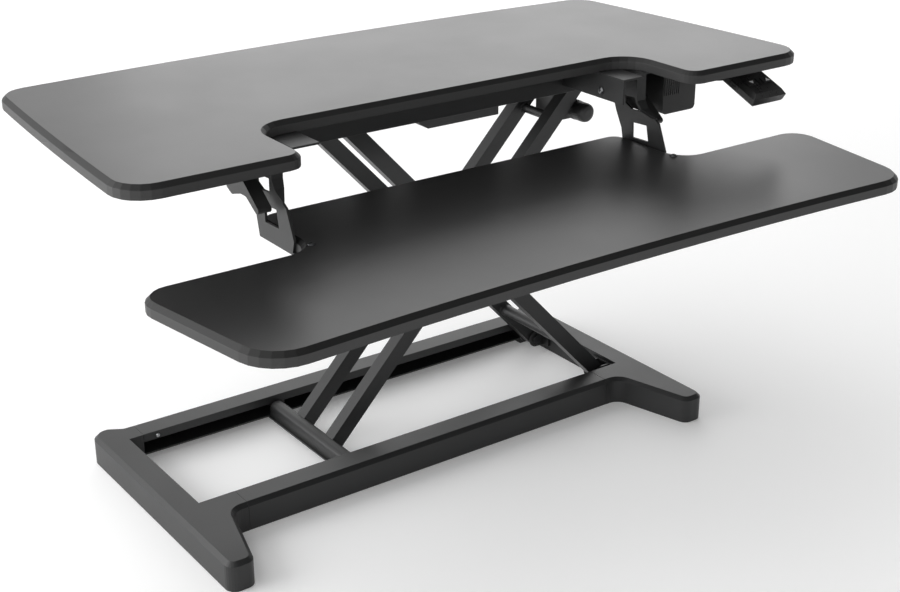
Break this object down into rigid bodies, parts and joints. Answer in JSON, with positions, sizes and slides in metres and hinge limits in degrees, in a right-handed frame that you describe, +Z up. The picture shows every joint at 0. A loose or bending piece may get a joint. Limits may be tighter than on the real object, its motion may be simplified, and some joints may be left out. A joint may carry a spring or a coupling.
{
  "type": "standing desk converter",
  "caption": "Electric standing desk converter: scissor lift between a wide desktop with a front cut-out, a dropped keyboard tray and a floor frame, with handset and release levers.",
  "frame": {"origin": "on the supporting surface, under the middle of the whole outline", "axes": "+X to the user's right, +Y away from the user, +Z up"},
  "size_m": [0.922, 0.6294, 0.5107],
  "materials": {
    "actuator_tube": "black powder coat, fine texture",
    "base_foot_left": "black powder coat, fine texture",
    "base_foot_right": "black powder coat, fine texture",
    "base_rail_front": "black powder coat, fine texture",
    "base_rail_rear": "black powder coat, fine texture",
    "button_down": "black, satin",
    "button_up": "black, satin",
    "cable_trough": "black powder coat, fine texture",
    "centre_pivot_bolt_front": "zinc plated",
    "centre_pivot_bolt_rear": "zinc plated",
    "control_box_body": "black, satin",
    "control_box_lid": "black, satin",
    "control_circuit_board": "green solder mask",
    "desktop_board": "black laminate, fine matt grain",
    "drive_motor": "black, satin",
    "drive_rod": "zinc plated",
    "frame_cross_member_left": "black powder coat, fine texture",
    "frame_cross_member_right": "black powder coat, fine texture",
    "gearbox_cover": "black, satin",
    "gearbox_housing": "black, satin",
    "handset_back_cover": "black, satin",
    "handset_body": "black, satin",
    "handset_cable": "matt black",
    "handset_circuit_board": "green solder mask",
    "handset_mount": "black powder coat, fine texture",
    "inner_arm_frame": "black powder coat, fine texture",
    "keyboard_tray": "black laminate, fine matt grain",
    "lead_screw": "zinc plated",
    "lower_pivot_bracket_front": "black powder coat, fine texture",
    "lower_pivot_bracket_rear": "black powder coat, fine texture",
    "lower_pivot_pin_front": "zinc plated",
    "lower_pivot_pin_rear": "zinc plated",
    "lower_roller_front": "black nylon, semi-matt",
    "lower_roller_rear": "black nylon, semi-matt",
    "motor_cable": "matt black",
    "outer_arm_frame": "black powder coat, fine texture",
    "rail_screw_front": "zinc plated",
    "rail_screw_rear": "zinc plated",
    "release_lever_left": "black, satin",
    "release_lever_right": "black, satin",
    "rubber_pad_left_front": "matt black",
    "rubber_pad_left_rear": "matt black",
    "rubber_pad_right_front": "matt black",
    "rubber_pad_right_rear": "matt black",
    "support_bolt_left": "zinc plated",
    "support_bolt_right": "zinc plated",
    "tray_bolt_left": "zinc plated",
    "tray_bolt_right": "zinc plated",
    "tray_bracket_left": "black powder coat, fine texture",
    "tray_bracket_right": "black powder coat, fine texture",
    "upper_pivot_bracket_front": "black powder coat, fine texture",
    "upper_pivot_bracket_rear": "black powder coat, fine texture",
    "upper_pivot_pin_front": "zinc plated",
    "upper_pivot_pin_rear": "zinc plated",
    "upper_rail_front": "black powder coat, fine texture",
    "upper_rail_rear": "black powder coat, fine texture",
    "upper_roller_front": "black nylon, semi-matt",
    "upper_roller_rear": "black nylon, semi-matt",
    "wing_support_left": "black powder coat, fine texture",
    "wing_support_right": "black powder coat, fine texture"
  },
  "bodies": {
    "base": {"base_foot_left": "base_foot_left", "base_foot_right": "base_foot_right", "base_rail_front": "base_rail_front", "base_rail_rear": "base_rail_rear", "lower_pivot_bracket_front": "lower_pivot_bracket_front", "lower_pivot_bracket_rear": "lower_pivot_bracket_rear", "lower_pivot_pin_front": "lower_pivot_pin_front", "lower_pivot_pin_rear": "lower_pivot_pin_rear", "rail_screw_front": "rail_screw_front", "rail_screw_rear": "rail_screw_rear", "rubber_pad_left_front": "rubber_pad_left_front", "rubber_pad_left_rear": "rubber_pad_left_rear", "rubber_pad_right_front": "rubber_pad_right_front", "rubber_pad_right_rear": "rubber_pad_right_rear"},
    "outer_arm": {"outer_arm_frame": "outer_arm_frame", "centre_pivot_bolt_front": "centre_pivot_bolt_front", "centre_pivot_bolt_rear": "centre_pivot_bolt_rear"},
    "inner_arm": {"inner_arm_frame": "inner_arm_frame"},
    "upper_frame": {"actuator_tube": "actuator_tube", "cable_trough": "cable_trough", "control_box_body": "control_box_body", "control_box_lid": "control_box_lid", "control_circuit_board": "control_circuit_board", "desktop_board": "desktop_board", "drive_motor": "drive_motor", "frame_cross_member_left": "frame_cross_member_left", "frame_cross_member_right": "frame_cross_member_right", "gearbox_cover": "gearbox_cover", "gearbox_housing": "gearbox_housing", "handset_back_cover": "handset_back_cover", "handset_body": "handset_body", "handset_cable": "handset_cable", "handset_circuit_board": "handset_circuit_board", "handset_mount": "handset_mount", "keyboard_tray": "keyboard_tray", "motor_cable": "motor_cable", "support_bolt_left": "support_bolt_left", "support_bolt_right": "support_bolt_right", "tray_bolt_left": "tray_bolt_left", "tray_bolt_right": "tray_bolt_right", "tray_bracket_left": "tray_bracket_left", "tray_bracket_right": "tray_bracket_right", "upper_pivot_bracket_front": "upper_pivot_bracket_front", "upper_pivot_bracket_rear": "upper_pivot_bracket_rear", "upper_pivot_pin_front": "upper_pivot_pin_front", "upper_pivot_pin_rear": "upper_pivot_pin_rear", "upper_rail_front": "upper_rail_front", "upper_rail_rear": "upper_rail_rear", "wing_support_left": "wing_support_left", "wing_support_right": "wing_support_right"},
    "drive_rod": {"drive_rod": "drive_rod"},
    "lead_screw": {"lead_screw": "lead_screw"},
    "lower_roller_front": {"lower_roller_front": "lower_roller_front"},
    "lower_roller_rear": {"lower_roller_rear": "lower_roller_rear"},
    "upper_roller_front": {"upper_roller_front": "upper_roller_front"},
    "upper_roller_rear": {"upper_roller_rear": "upper_roller_rear"},
    "button_up": {"button_up": "button_up"},
    "button_down": {"button_down": "button_down"},
    "release_lever_left": {"release_lever_left": "release_lever_left"},
    "release_lever_right": {"release_lever_right": "release_lever_right"}
  },
  "joints": [
    {"name": "lift", "type": "hinge", "parent": "base", "child": "outer_arm", "pos_m": [0.32, 0.17171, 0.021], "axis": [0, 1, 0], "range_deg": [-38.75, 0]},
    {"name": "scissor_centre", "type": "hinge", "parent": "outer_arm", "child": "inner_arm", "pos_m": [0.11025, 0.17171, 0.244], "axis": [0, 1, 0], "range_deg": [0, 77.5]},
    {"name": "desk_level", "type": "hinge", "parent": "inner_arm", "child": "upper_frame", "pos_m": [0.32, 0.17171, 0.467], "axis": [0, 1, 0], "range_deg": [-38.75, 0]},
    {"name": "rod_eye_pivot", "type": "hinge", "parent": "outer_arm", "child": "drive_rod", "pos_m": [-0.0995, 0.17171, 0.467], "axis": [0, 1, 0], "range_deg": [0, 38.75]},
    {"name": "lower_roller_front_spin", "type": "hinge", "parent": "inner_arm", "child": "lower_roller_front", "pos_m": [-0.0995, 0.17171, 0.021], "axis": [0, 1, 0], "continuous": true},
    {"name": "lower_roller_rear_spin", "type": "hinge", "parent": "inner_arm", "child": "lower_roller_rear", "pos_m": [-0.0995, 0.17171, 0.021], "axis": [0, 1, 0], "continuous": true},
    {"name": "upper_roller_front_spin", "type": "hinge", "parent": "outer_arm", "child": "upper_roller_front", "pos_m": [-0.0995, 0.17171, 0.467], "axis": [0, 1, 0], "continuous": true},
    {"name": "upper_roller_rear_spin", "type": "hinge", "parent": "outer_arm", "child": "upper_roller_rear", "pos_m": [-0.0995, 0.17171, 0.467], "axis": [0, 1, 0], "continuous": true},
    {"name": "lead_screw_spin", "type": "hinge", "parent": "upper_frame", "child": "lead_screw", "pos_m": [0.288, 0.17171, 0.467], "axis": [1, 0, 0], "continuous": true},
    {"name": "button_up_press", "type": "slide", "parent": "upper_frame", "child": "button_up", "axis": [0, 0.3746, -0.9272], "range_m": [0, 0.001], "stiffness_N_per_m": 400},
    {"name": "button_down_press", "type": "slide", "parent": "upper_frame", "child": "button_down", "axis": [0, 0.3746, -0.9272], "range_m": [0, 0.001], "stiffness_N_per_m": 400},
    {"name": "release_lever_left_squeeze", "type": "hinge", "parent": "upper_frame", "child": "release_lever_left", "pos_m": [-0.27, 0.01171, 0.466], "axis": [1, 0, 0], "range_deg": [-22, 0], "stiffness_Nm_per_rad": 0.8},
    {"name": "release_lever_right_squeeze", "type": "hinge", "parent": "upper_frame", "child": "release_lever_right", "pos_m": [0.27, 0.01171, 0.466], "axis": [1, 0, 0], "range_deg": [-22, 0], "stiffness_Nm_per_rad": 0.8}
  ],
  "couplings": [
    {"joint": "scissor_centre", "follows": "lift", "ratio": -2},
    {"joint": "desk_level", "follows": "lift", "ratio": 1},
    {"joint": "rod_eye_pivot", "follows": "lift", "ratio": -1}
  ]
}
